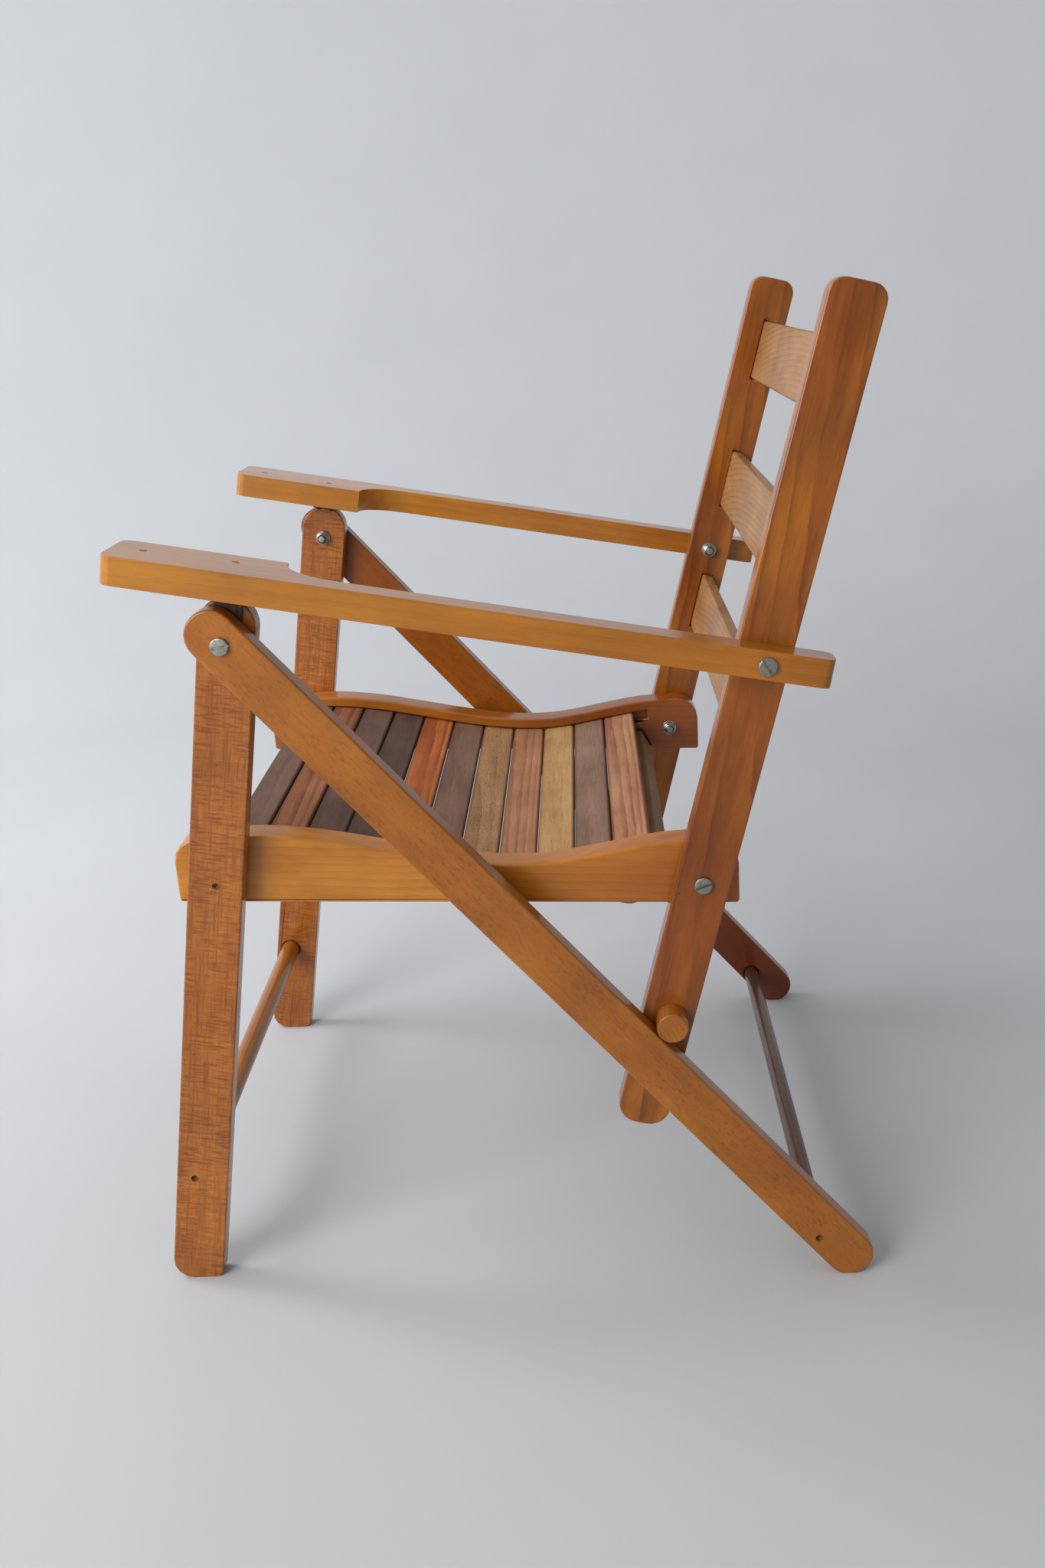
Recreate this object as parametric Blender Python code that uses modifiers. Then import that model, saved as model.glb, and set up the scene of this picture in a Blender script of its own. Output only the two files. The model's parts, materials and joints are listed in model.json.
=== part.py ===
"""Folding wooden armchair with a slatted seat and a three-slat back.

Frame: the origin is on the floor under the middle of the chair. +X is the sitter's left, the sitter
faces -Y, and +Z is up. Each side is built in layers of timber, from the outside in:
  layer 1: the rear leg and the armrest
  layer 2: the front leg and the stile of the back
  layer 3: the side rail of the seat
Four pivots on each side, A to D, join the layers into a linkage that folds flat.
"""

import math

import bmesh
import bpy
from mathutils import Matrix, Vector

# ---------------------------------------------------------------- driving dimensions, metres
# Pivots, as (Y, Z)
PIVOT_A = (-0.2026, 0.6270)  # front leg, rear leg and arm bracket
PIVOT_B = (0.2364, 0.5890)   # armrest and back stile
PIVOT_C = (0.1839, 0.3900)   # back stile and seat rail
PIVOT_D = (-0.2396, 0.4080)  # seat rail and front leg

# Timber layers, as (inner X, outer X) on the +X side
LAYER_1 = (0.2600, 0.2800)
LAYER_2 = (0.2376, 0.2576)
LAYER_3 = (0.2064, 0.2364)
ARM_INNER_X = 0.2584
ARM_OUTER_X = 0.2860

GAP = 0.0003          # between faces that touch
CLEAR = 0.0003        # radial clearance round a shank or dowel
FACETS = 16           # sides of small round pieces

# Legs
FRONT_LEG_TILT = math.radians(9.8)    # top leans back from the vertical
FRONT_LEG_WIDTH = 0.0485
REAR_LEG_TILT = math.radians(40.24)   # foot lies behind, measured from the vertical
REAR_LEG_WIDTH = 0.0435
REAR_LEG_LENGTH = 0.7940              # pivot A to the centre of the round foot
LEG_END_BEYOND_PIVOT = 0.0110         # pivot A to the centre of a leg's round top
FOOT_FRONT_RADIUS = 0.0180
FOOT_REAR_RADIUS = 0.0080

# Stretchers
FRONT_STRETCHER_AT = (-0.2988, 0.1118)
FRONT_STRETCHER_R = 0.0110
REAR_STRETCHER_ALONG = 0.7610         # from pivot A, down the rear leg
REAR_STRETCHER_OFFSET = 0.0090        # towards the leg's lower edge
REAR_STRETCHER_R = 0.0088
SOCKET_DEPTH = 0.0100

# Back
STILE_TILT = math.atan2(PIVOT_B[0] - PIVOT_C[0], PIVOT_B[1] - PIVOT_C[1])
STILE_WIDTH = 0.0465
STILE_ABOVE_C = 0.5030
STILE_BELOW_C = 0.2430
STILE_TOP_RADIUS = 0.0130
STILE_FOOT_RADIUS = 0.0180
BACK_SLATS = 3
BACK_SLAT_HEIGHT = 0.0610
BACK_SLAT_THICK = 0.0120
BACK_SLAT_FIRST = 0.1465              # above pivot C, along the stile
BACK_SLAT_PITCH = 0.1410
MORTISE_DEPTH = 0.0080
OPEN_PIVOT_HOLE_R = 0.0070            # stile hole at B, which takes up the linkage's play

# Stop pegs, which rest on the rear legs' upper edges
PEG_R = 0.0140
PEG_BELOW_C = 0.1310                  # along the stile; the rear leg sets its place across
PEG_INNER_X = 0.2290
PEG_OUTER_X = 0.2790

# Seat rails: knots of the scooped top edge, as (Y, Z)
RAIL_FRONT_CREST = (-0.2208, 0.4462)
RAIL_LOW = (0.0362, 0.4069)
RAIL_REAR_CREST = (0.1722, 0.4230)
RAIL_FRONT_Y = -0.2798
RAIL_REAR_Y = 0.2172
RAIL_BOTTOM_FRONT_Z = 0.3860
RAIL_BOTTOM_REAR_Z = 0.3622
RAIL_FRONT_RADIUS = 0.0220
RAIL_REAR_RADIUS = 0.0250
LIP = 0.0120                          # timber above the slats

# Seat slats
SEAT_SLATS = 11
SLAT_WIDTH = 0.0346
SLAT_THICK = 0.0080
SLAT_FIRST_Y = -0.2230                # middle of the front slat
SLAT_PITCH = 0.03534                  # along the groove
LAST_SLAT_AT = (0.1531, 0.3749)
LAST_SLAT_TILT = math.radians(-62.0)
LAST_SLAT_WIDTH = 0.0255
GROOVE_DEPTH = 0.0080
GROOVE_PLAY = 0.0009
GROOVE_RUN_ON = 0.0160                # the groove goes on behind the last flat slat
SLAT_IN_GROOVE = 0.0070

# Armrests
ARM_TILT = math.radians(11.4)         # falls to the rear
ARM_BOTTOM = 0.0380                   # from pivot A, square to the arm
ARM_THICK = 0.0240
ARM_FRONT = -0.1000                   # along the arm from pivot A
ARM_REAR = 0.4920
PADDLE_END = 0.0390
PADDLE_INNER_X = 0.2140
PADDLE_STEP = 0.0040
PADDLE_SWEEP = 0.0480
ARM_CORNER_RADIUS = 0.0100

# Arm brackets
BRACKET_THICK = 0.0018
BRACKET_WIDTH = 0.0240
BRACKET_INNER_X = 0.2200
BRACKET_X = 0.2588                    # middle of the upright tab, between layers 1 and 2
BRACKET_SCREW_X = 0.2290
BRACKET_SCREW_SPREAD = 0.0065

# Hardware
BOLT_R = 0.0039
BOLT_HEAD_R = 0.0077
BOLT_HEAD_H = 0.0036
BOLT_BEYOND_NUT = 0.0024
SLOT_TURN_A = 0.12                    # radians from the level, seen from outside
SLOT_TURN_B = -1.05
SLOT_TURN_C = 0.35
NUT_ACROSS_FLATS = 0.0130
NUT_H = 0.0080
WASHER_R = 0.0080
WASHER_H = 0.0016
SCREW_R = 0.0021
SCREW_HEAD_R = 0.0033
SCREW_HEAD_H = 0.0026
SCREW_RECESS = 0.0034
PILOT_DEPTH = 0.0200

HONEY = (0.50, 0.24, 0.075, 1)
GOLDEN = (0.56, 0.29, 0.09, 1)
REDDISH = (0.36, 0.14, 0.05, 1)
PALE_OAK = (0.48, 0.27, 0.12, 1)
DARK_DOWEL = (0.16, 0.08, 0.045, 1)
ZINC = (0.52, 0.54, 0.56, 1)
SLAT_COLOURS = (
    (0.21, 0.155, 0.13, 1), (0.34, 0.165, 0.105, 1), (0.20, 0.14, 0.125, 1), (0.15, 0.105, 0.095, 1),
    (0.38, 0.155, 0.075, 1), (0.14, 0.105, 0.10, 1), (0.30, 0.18, 0.11, 1), (0.33, 0.15, 0.10, 1),
    (0.42, 0.25, 0.12, 1), (0.15, 0.105, 0.10, 1), (0.35, 0.175, 0.115, 1), (0.17, 0.125, 0.085, 1),
)


# ---------------------------------------------------------------- scene and materials
def clear_scene():
    for obj in list(bpy.data.objects):
        bpy.data.objects.remove(obj, do_unlink=True)


def new_collection(name):
    collection = bpy.data.collections.new(name)
    bpy.context.scene.collection.children.link(collection)
    return collection


def material(name, colour, roughness=0.45, metallic=0.0):
    made = bpy.data.materials.new(name)
    made.use_nodes = True
    shader = made.node_tree.nodes["Principled BSDF"]
    shader.inputs["Base Color"].default_value = colour
    shader.inputs["Roughness"].default_value = roughness
    shader.inputs["Metallic"].default_value = metallic
    return made


# ---------------------------------------------------------------- outlines in the YZ plane
def on_line(origin, tilt, along, across):
    """The point this far up a board that leans back by tilt, and this far behind its centre line."""
    up = (math.sin(tilt), math.cos(tilt))
    return (
        origin[0] + up[0] * along + up[1] * across,
        origin[1] + up[1] * along - up[0] * across,
    )


def arc(centre, radius, start, end, steps):
    """Points of an arc, ends included; angles in radians from +Y towards +Z."""
    return [
        (
            centre[0] + radius * math.cos(start + (end - start) * i / steps),
            centre[1] + radius * math.sin(start + (end - start) * i / steps),
        )
        for i in range(steps + 1)
    ]


def fillet(corners, radii, steps=4):
    """The outline through the corners, each rounded by its radius."""
    outline = []
    for i, (corner, radius) in enumerate(zip(corners, radii)):
        here = Vector(corner)
        if radius == 0:
            outline.append(tuple(here))
            continue
        back = (Vector(corners[i - 1]) - here).normalized()
        ahead = (Vector(corners[(i + 1) % len(corners)]) - here).normalized()
        half = back.angle(ahead) / 2
        centre = here + (back + ahead).normalized() * radius / math.sin(half)
        first = here + back * radius / math.tan(half) - centre
        last = here + ahead * radius / math.tan(half) - centre
        turn = first.angle_signed(last)
        for step in range(steps + 1):
            angle = -turn * step / steps
            spun = Matrix.Rotation(angle, 2) @ first
            outline.append(tuple(centre + spun))
    return outline


def circle(centre, radius, sides=FACETS):
    return [
        (
            centre[0] + radius * math.cos(2 * math.pi * i / sides),
            centre[1] + radius * math.sin(2 * math.pi * i / sides),
        )
        for i in range(sides)
    ]


def smoothstep(t):
    return t * t * (3 - 2 * t)


def rail_top(y):
    """Height of the seat rail's scooped top edge."""
    if y <= RAIL_FRONT_CREST[0]:
        return RAIL_FRONT_CREST[1]
    if y <= RAIL_LOW[0]:
        start, end = RAIL_FRONT_CREST, RAIL_LOW
    elif y <= RAIL_REAR_CREST[0]:
        start, end = RAIL_LOW, RAIL_REAR_CREST
    else:
        return RAIL_REAR_CREST[1]
    t = (y - start[0]) / (end[0] - start[0])
    return start[1] + (end[1] - start[1]) * smoothstep(t)


def rail_slope(y):
    step = 0.001
    return math.atan2(rail_top(y + step) - rail_top(y - step), 2 * step)


# ---------------------------------------------------------------- solids
def mesh_object(name, mesh, pivot, collection, finish):
    """An object whose mesh, given in world coordinates, is moved so that its origin is on pivot."""
    mesh.transform(Matrix.Translation(-Vector(pivot)))
    obj = bpy.data.objects.new(name, mesh)
    obj.location = pivot
    collection.objects.link(obj)
    if finish is not None:
        mesh.materials.append(finish)
    return obj


def plate_mesh(loops, thickness, to_world):
    """A flat plate from closed loops of points (the first is the rim, the rest are holes)."""
    curve = bpy.data.curves.new("outline", "CURVE")
    curve.dimensions = "2D"
    curve.fill_mode = "BOTH"
    curve.extrude = thickness / 2
    for loop in loops:
        spline = curve.splines.new("POLY")
        spline.points.add(len(loop) - 1)
        for point, (u, v) in zip(spline.points, loop):
            point.co = (u, v, 0, 1)
        spline.use_cyclic_u = True
    guide = bpy.data.objects.new("outline", curve)
    bpy.context.scene.collection.objects.link(guide)
    graph = bpy.context.evaluated_depsgraph_get()
    mesh = bpy.data.meshes.new_from_object(guide.evaluated_get(graph))
    bpy.data.objects.remove(guide, do_unlink=True)
    bpy.data.curves.remove(curve)
    shape = bmesh.new()
    shape.from_mesh(mesh)
    bmesh.ops.remove_doubles(shape, verts=shape.verts, dist=1e-6)
    bmesh.ops.recalc_face_normals(shape, faces=shape.faces)
    shape.to_mesh(mesh)
    shape.free()
    mesh.transform(to_world)
    return mesh


def side_plane(x):
    """Maps outline coordinates (u, v, w) to world (Y, Z, X), with w = 0 at X = x."""
    return Matrix(((0, 0, 1, x), (1, 0, 0, 0), (0, 1, 0, 0), (0, 0, 0, 1)))


def board(name, layer, side, loops, pivot, collection, finish):
    """A board that fills a layer of one side: side is +1 for +X and -1 for -X."""
    middle = side * (layer[0] + layer[1]) / 2
    mesh = plate_mesh(loops, layer[1] - layer[0], side_plane(middle))
    return mesh_object(name, mesh, (middle, *pivot), collection, finish)


def rod_mesh(start_x, end_x, radius, at, sides=FACETS):
    """A cylinder along X between two X values."""
    shape = bmesh.new()
    place = Matrix.Translation(((start_x + end_x) / 2, *at)) @ Matrix.Rotation(math.pi / 2, 4, "Y")
    bmesh.ops.create_cone(
        shape, cap_ends=True, segments=sides, radius1=radius, radius2=radius,
        depth=abs(end_x - start_x), matrix=place,
    )
    mesh = bpy.data.meshes.new("rod")
    shape.to_mesh(mesh)
    shape.free()
    return mesh


def box_mesh(size, place):
    shape = bmesh.new()
    bmesh.ops.create_cube(shape, size=1, matrix=place @ Matrix.Diagonal((*size, 1)))
    mesh = bpy.data.meshes.new("box")
    shape.to_mesh(mesh)
    shape.free()
    return mesh


def turned(name, profile, frame, collection, finish, sides=FACETS):
    """A turned piece: profile is (radius, height) from the top of its axis to the bottom."""
    mesh = bpy.data.meshes.new(name)
    shape = bmesh.new()
    points = [shape.verts.new((radius, 0, height)) for radius, height in profile]
    for first, second in zip(points, points[1:]):
        shape.edges.new((first, second))
    shape.to_mesh(mesh)
    shape.free()
    obj = bpy.data.objects.new(name, mesh)
    obj.matrix_world = frame
    collection.objects.link(obj)
    mesh.materials.append(finish)
    screw = obj.modifiers.new("Turn", "SCREW")
    screw.steps = screw.render_steps = sides
    screw.use_merge_vertices = True
    screw.merge_threshold = 0.00001
    screw.use_smooth_shade = False
    return obj


def cut(obj, cutter_mesh, cutters):
    """Takes cutter_mesh, given in world coordinates, out of obj."""
    cutter = bpy.data.objects.new(f"{obj.name}_cutter_{len(obj.modifiers)}", cutter_mesh)
    cutter.hide_render = True
    cutter.display_type = "WIRE"
    cutters.objects.link(cutter)
    made = obj.modifiers.new("Cut", "BOOLEAN")
    made.operation = "DIFFERENCE"
    made.object = cutter
    made.solver = "EXACT"


def soften(obj, width, segments=1, limit=40):
    """Rounds the object's sharp edges."""
    made = obj.modifiers.new("Edges", "BEVEL")
    made.width = width
    made.segments = segments
    made.limit_method = "ANGLE"
    made.angle_limit = math.radians(limit)
    made.use_clamp_overlap = True


def x_frame(side, x, at):
    """A frame at (x, at) whose +Z points out of the chair on this side."""
    turn = Matrix.Rotation(side * math.pi / 2, 4, "Y")
    return Matrix.Translation((side * x, *at)) @ turn


def slotted_bolt(name, side, head_x, end_x, at, turn, collection, finish, cutters):
    """A bolt along X: its domed head sits on the face at head_x, with its slot turned from the level."""
    length = head_x - end_x
    profile = [
        (0, BOLT_HEAD_H), (BOLT_HEAD_R * 0.72, BOLT_HEAD_H * 0.88), (BOLT_HEAD_R, BOLT_HEAD_H * 0.5),
        (BOLT_HEAD_R, 0), (BOLT_R, 0), (BOLT_R, -length + 0.0006), (BOLT_R - 0.0006, -length), (0, -length),
    ]
    frame = x_frame(side, head_x, at)
    obj = turned(name, profile, frame, collection, finish)
    place = frame @ Matrix.Rotation(turn, 4, "Z") @ Matrix.Translation((0, 0, BOLT_HEAD_H))
    cut(obj, box_mesh((0.0016, 0.0200, 0.0036), place), cutters)
    return obj


def hex_nut(name, side, outer_x, at, collection, finish):
    """A nut whose outer face is at outer_x and which lies further in."""
    radius = NUT_ACROSS_FLATS / 2 / math.cos(math.pi / 6)
    loops = [circle(at, radius, 6), circle(at, BOLT_R + CLEAR)]
    return board(name, (outer_x - NUT_H, outer_x), side, loops, at, collection, finish)


def washer(name, side, outer_x, at, collection, finish):
    loops = [circle(at, WASHER_R), circle(at, BOLT_R + CLEAR)]
    return board(name, (outer_x - WASHER_H, outer_x), side, loops, at, collection, finish)


def recessed_screw(name, frame, length, collection, finish):
    """A small screw whose head's top is at the frame's origin."""
    profile = [
        (0, 0), (SCREW_HEAD_R, 0), (SCREW_HEAD_R, -0.0006), (SCREW_R, -SCREW_HEAD_H),
        (SCREW_R, -length), (0, -length - 0.002),
    ]
    return turned(name, profile, frame, collection, finish, 12)


def screw_bore(side, face_x, end_x, at):
    """Cutter for a recessed screw: a counterbore at the face and a shank hole down to end_x."""
    recess = SCREW_RECESS + SCREW_HEAD_H + GAP
    bore = rod_mesh(side * (face_x + 0.002), side * (face_x - recess), SCREW_HEAD_R + CLEAR, at)
    shank = rod_mesh(side * (face_x - recess + 0.001), side * end_x, SCREW_R + CLEAR, at, 12)
    return bore, shank


def bolted_joint(name, side, head_face, nut_face, at, turn, collection, finish, cutters):
    """A bolt with its washer and nut through the faces at head_face and nut_face."""
    washer_x = nut_face - GAP
    nut_x = washer_x - WASHER_H - GAP
    end_x = nut_x - NUT_H - BOLT_BEYOND_NUT
    slotted_bolt(f"{name}_bolt", side, head_face + GAP, end_x, at, turn, collection, finish, cutters)
    washer(f"{name}_washer", side, washer_x, at, collection, finish)
    hex_nut(f"{name}_nut", side, nut_x, at, collection, finish)


# ---------------------------------------------------------------- front frame
def front_leg_outline():
    half = FRONT_LEG_WIDTH / 2
    top = on_line(PIVOT_A, FRONT_LEG_TILT, LEG_END_BEYOND_PIVOT, 0)
    up = math.pi / 2 - FRONT_LEG_TILT
    crown = arc(top, half, up - math.pi / 2, up + math.pi / 2, 12)
    drop = PIVOT_A[1] / math.cos(FRONT_LEG_TILT)
    foot = on_line(PIVOT_A, FRONT_LEG_TILT, -drop, 0)
    spread = half / math.cos(FRONT_LEG_TILT)
    corners = [(foot[0] - spread, 0), (foot[0] + spread, 0), crown[0], crown[-1]]
    heel = fillet(corners, [FOOT_FRONT_RADIUS, FOOT_REAR_RADIUS, 0, 0])[:-2]
    return crown + heel


def make_front_frame(parts, cutters, finishes):
    wood, zinc = finishes["front_wood"], finishes["zinc"]
    for side, tag in ((1, "left"), (-1, "right")):
        loops = [front_leg_outline(), circle(PIVOT_A, BOLT_R + CLEAR)]
        leg = board(f"front_leg_{tag}", LAYER_2, side, loops, PIVOT_A, parts, wood)
        inner, outer = LAYER_2
        socket = rod_mesh(
            side * (inner - 0.002), side * (inner + SOCKET_DEPTH + GAP), FRONT_STRETCHER_R + CLEAR,
            FRONT_STRETCHER_AT, 20,
        )
        cut(leg, socket, cutters)
        for at, end_x in ((FRONT_STRETCHER_AT, inner + SOCKET_DEPTH - 0.001), (PIVOT_D, inner - 0.002)):
            for cutter in screw_bore(side, outer, end_x, at):
                cut(leg, cutter, cutters)
        bolted_joint(
            f"leg_pivot_{tag}", side, LAYER_1[1], inner, PIVOT_A, SLOT_TURN_A, parts, zinc, cutters
        )
        recessed_screw(
            f"seat_pivot_pin_{tag}", x_frame(side, outer - SCREW_RECESS, PIVOT_D),
            outer - SCREW_RECESS - LAYER_3[1] + 0.010, parts, zinc,
        )
        recessed_screw(
            f"front_stretcher_screw_{tag}", x_frame(side, outer - SCREW_RECESS, FRONT_STRETCHER_AT),
            0.0220, parts, zinc,
        )
    make_dowel("front_stretcher", LAYER_2, FRONT_STRETCHER_AT, FRONT_STRETCHER_R, parts, cutters,
               finishes["dowel_wood"])


def make_dowel(name, layer, at, radius, parts, cutters, finish):
    """A round rail whose ends sit in the sockets of the two boards of a layer."""
    reach = layer[0] + SOCKET_DEPTH
    dowel = mesh_object(name, rod_mesh(-reach, reach, radius, at, 20), (0, *at), parts, finish)
    for side in (1, -1):
        pilot = rod_mesh(
            side * (reach + 0.002), side * (reach - PILOT_DEPTH), SCREW_R + CLEAR, at, 12
        )
        cut(dowel, pilot, cutters)


# ---------------------------------------------------------------- rear frame
def rear_leg_point(along, across):
    """A point down the rear leg from pivot A; across is positive above the leg."""
    return on_line(PIVOT_A, -REAR_LEG_TILT, -along, across)


def rear_leg_outline():
    half = REAR_LEG_WIDTH / 2
    up = math.pi / 2 + REAR_LEG_TILT
    crown = arc(rear_leg_point(-LEG_END_BEYOND_PIVOT, 0), half, up - math.pi / 2, up + math.pi / 2, 12)
    centre = rear_leg_point(REAR_LEG_LENGTH, 0)
    dip = math.asin(centre[1] / half)
    front = arc(centre, half, up + math.pi / 2, 1.5 * math.pi - (math.pi / 2 - dip), 6)
    rear = arc(centre, half, 1.5 * math.pi + (math.pi / 2 - dip), up + 1.5 * math.pi, 8)
    return crown + front + rear


def make_rear_frame(parts, cutters, finishes):
    wood, zinc = finishes["rear_wood"], finishes["zinc"]
    at = rear_leg_point(REAR_STRETCHER_ALONG, -REAR_STRETCHER_OFFSET)
    inner, outer = LAYER_1
    for side, tag in ((1, "left"), (-1, "right")):
        loops = [rear_leg_outline(), circle(PIVOT_A, BOLT_R + CLEAR)]
        leg = board(f"rear_leg_{tag}", LAYER_1, side, loops, PIVOT_A, parts, wood)
        socket = rod_mesh(
            side * (inner - 0.002), side * (inner + SOCKET_DEPTH + GAP), REAR_STRETCHER_R + CLEAR, at, 20
        )
        cut(leg, socket, cutters)
        for cutter in screw_bore(side, outer, inner + SOCKET_DEPTH - 0.001, at):
            cut(leg, cutter, cutters)
        recessed_screw(
            f"rear_stretcher_screw_{tag}", x_frame(side, outer - SCREW_RECESS, at), 0.0220, parts, zinc
        )
    make_dowel("rear_stretcher", LAYER_1, at, REAR_STRETCHER_R, parts, cutters, finishes["dark_wood"])


# ---------------------------------------------------------------- back
def stile_outline():
    half = STILE_WIDTH / 2
    corners = [
        on_line(PIVOT_C, STILE_TILT, -STILE_BELOW_C, -half),
        on_line(PIVOT_C, STILE_TILT, -STILE_BELOW_C, half),
        on_line(PIVOT_C, STILE_TILT, STILE_ABOVE_C, half),
        on_line(PIVOT_C, STILE_TILT, STILE_ABOVE_C, -half),
    ]
    radii = [STILE_FOOT_RADIUS] * 2 + [STILE_TOP_RADIUS] * 2
    return fillet(corners, radii, 5)


def back_slat_place(index):
    """The middle of a back slat: its front face lies on the stiles' centre line."""
    along = BACK_SLAT_FIRST + BACK_SLAT_PITCH * index
    at = on_line(PIVOT_C, STILE_TILT, along, BACK_SLAT_THICK / 2)
    return Matrix.Translation((0, *at)) @ Matrix.Rotation(-STILE_TILT, 4, "X")


def peg_place():
    """The stop peg's axis: it touches the upper edge of the rear leg, less the gap."""
    at = on_line(PIVOT_C, STILE_TILT, -PEG_BELOW_C, 0)
    normal = Vector((math.cos(REAR_LEG_TILT), math.sin(REAR_LEG_TILT)))
    above = (Vector(at) - Vector(PIVOT_A)).dot(normal)
    short = REAR_LEG_WIDTH / 2 + PEG_R + GAP - above
    across = Vector((math.cos(STILE_TILT), -math.sin(STILE_TILT)))
    return on_line(PIVOT_C, STILE_TILT, -PEG_BELOW_C, short / across.dot(normal))


def make_back(parts, cutters, finishes):
    wood, pale = finishes["stile_wood"], finishes["pale_wood"]
    inner = LAYER_2[0]
    peg_at = peg_place()
    for side, tag in ((1, "left"), (-1, "right")):
        loops = [
            stile_outline(), circle(PIVOT_B, OPEN_PIVOT_HOLE_R), circle(PIVOT_C, BOLT_R + CLEAR),
            circle(peg_at, PEG_R + CLEAR, 20),
        ]
        stile = board(f"back_stile_{tag}", LAYER_2, side, loops, PIVOT_C, parts, wood)
        for index in range(BACK_SLATS):
            size = (
                2 * MORTISE_DEPTH + 4 * GAP, BACK_SLAT_THICK + 2 * CLEAR, BACK_SLAT_HEIGHT + 2 * CLEAR
            )
            place = Matrix.Translation((side * inner, 0, 0)) @ back_slat_place(index)
            cut(stile, box_mesh(size, place), cutters)
        peg_ends = (side * PEG_INNER_X, side * PEG_OUTER_X)
        peg_pivot = (side * (PEG_INNER_X + PEG_OUTER_X) / 2, *peg_at)
        peg_mesh = rod_mesh(*peg_ends, PEG_R, peg_at, 20)
        peg = mesh_object(f"stop_peg_{tag}", peg_mesh, peg_pivot, parts, finishes["dowel_wood"])
        soften(peg, 0.0012)
    for index in range(BACK_SLATS):
        reach = 2 * (inner + MORTISE_DEPTH)
        mesh = box_mesh((reach, BACK_SLAT_THICK, BACK_SLAT_HEIGHT), back_slat_place(index))
        at = back_slat_place(index).translation
        slat = mesh_object(f"back_slat_{index + 1}", mesh, at, parts, pale)
        soften(slat, 0.0024, 2)


# ---------------------------------------------------------------- seat
def rail_outline():
    steps = 22
    span = RAIL_REAR_CREST[0] - RAIL_FRONT_CREST[0]
    scoop = [RAIL_REAR_CREST[0] - span * i / steps for i in range(steps + 1)]
    corners = [
        (RAIL_FRONT_Y, RAIL_BOTTOM_FRONT_Z), (RAIL_REAR_Y, RAIL_BOTTOM_REAR_Z),
        (RAIL_REAR_Y, RAIL_REAR_CREST[1]), (RAIL_FRONT_Y, RAIL_FRONT_CREST[1]),
    ]
    rounded = fillet(corners, [0.003, 0.003, RAIL_REAR_RADIUS, RAIL_FRONT_RADIUS], 4)
    return rounded[:15] + [(y, rail_top(y)) for y in scoop] + rounded[15:]


def groove_point(y, above):
    """A point of the groove that holds the slats, this far above its middle line."""
    depth = LIP + SLAT_THICK / 2 - above
    tilt = rail_slope(y)
    return (y + math.sin(tilt) * depth, rail_top(y) - math.cos(tilt) * depth)


def along_groove(distance):
    """The y whose groove point is this far along the groove's middle line from the front slat's middle."""
    step = 0.0002
    y, gone = SLAT_FIRST_Y, 0.0
    while gone < distance:
        here = Vector(groove_point(y, 0))
        y += step
        gone += (Vector(groove_point(y, 0)) - here).length
    return y - (gone - distance)


def groove_outline():
    """The groove's long run, under the scooped edge."""
    steps = 22
    half = SLAT_THICK / 2 + GROOVE_PLAY
    start = SLAT_FIRST_Y - SLAT_WIDTH / 2 - 0.0020
    end = along_groove(SLAT_PITCH * (SEAT_SLATS - 1) + SLAT_WIDTH / 2 + GROOVE_RUN_ON)
    knots = [start + (end - start) * i / steps for i in range(steps + 1)]
    return [groove_point(y, -half) for y in knots] + [groove_point(y, half) for y in reversed(knots)]


def groove_drop():
    """The groove's rear end, which turns down and runs out through the rail's lower edge."""
    along = Vector((math.cos(LAST_SLAT_TILT), math.sin(LAST_SLAT_TILT)))
    square = Vector((-along.y, along.x)) * (SLAT_THICK / 2 + GROOVE_PLAY)
    top = Vector(LAST_SLAT_AT) - along * 0.0260
    bottom = Vector(LAST_SLAT_AT) + along * 0.0260
    corners = [tuple(top - square), tuple(bottom - square), tuple(bottom + square), tuple(top + square)]
    return fillet(corners, [0, 0, 0, SLAT_THICK / 2 + GROOVE_PLAY], 5)


def slat_place(index):
    """The middle of a seat slat, square to the groove; the last one turns down over the rear edge."""
    if index == SEAT_SLATS:
        at, tilt = LAST_SLAT_AT, LAST_SLAT_TILT
    else:
        y = along_groove(SLAT_PITCH * index)
        tilt = rail_slope(y)
        depth = LIP + SLAT_THICK / 2
        at = (y + math.sin(tilt) * depth, rail_top(y) - math.cos(tilt) * depth)
    return Matrix.Translation((0, *at)) @ Matrix.Rotation(tilt, 4, "X")


def make_seat(parts, cutters, finishes):
    inner, outer = LAYER_3
    for side, tag in ((1, "left"), (-1, "right")):
        loops = [rail_outline(), circle(PIVOT_C, BOLT_R + CLEAR)]
        rail = board(f"seat_rail_{tag}", LAYER_3, side, loops, PIVOT_D, parts, finishes["rail_wood"])
        groove_middle = side * (inner + GROOVE_DEPTH / 2 - 0.001)
        for outline in (groove_outline(), groove_drop()):
            cutter = plate_mesh([outline], GROOVE_DEPTH + 0.002, side_plane(groove_middle))
            cut(rail, cutter, cutters)
        cut(rail, rod_mesh(side * (outer + 0.002), side * (outer - 0.0125), SCREW_R + CLEAR, PIVOT_D, 12),
            cutters)
        bolted_joint(
            f"seat_pivot_{tag}", side, LAYER_2[1], inner, PIVOT_C, SLOT_TURN_C, parts, finishes["zinc"],
            cutters,
        )
    for index in range(SEAT_SLATS + 1):
        width = LAST_SLAT_WIDTH if index == SEAT_SLATS else SLAT_WIDTH
        place = slat_place(index)
        mesh = box_mesh((2 * (inner + SLAT_IN_GROOVE), width, SLAT_THICK), place)
        slat = mesh_object(
            f"seat_slat_{index + 1:02d}", mesh, place.translation, parts,
            material(f"seat_slat_{index + 1:02d}", SLAT_COLOURS[index], 0.6),
        )
        soften(slat, 0.0026, 2)


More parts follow.
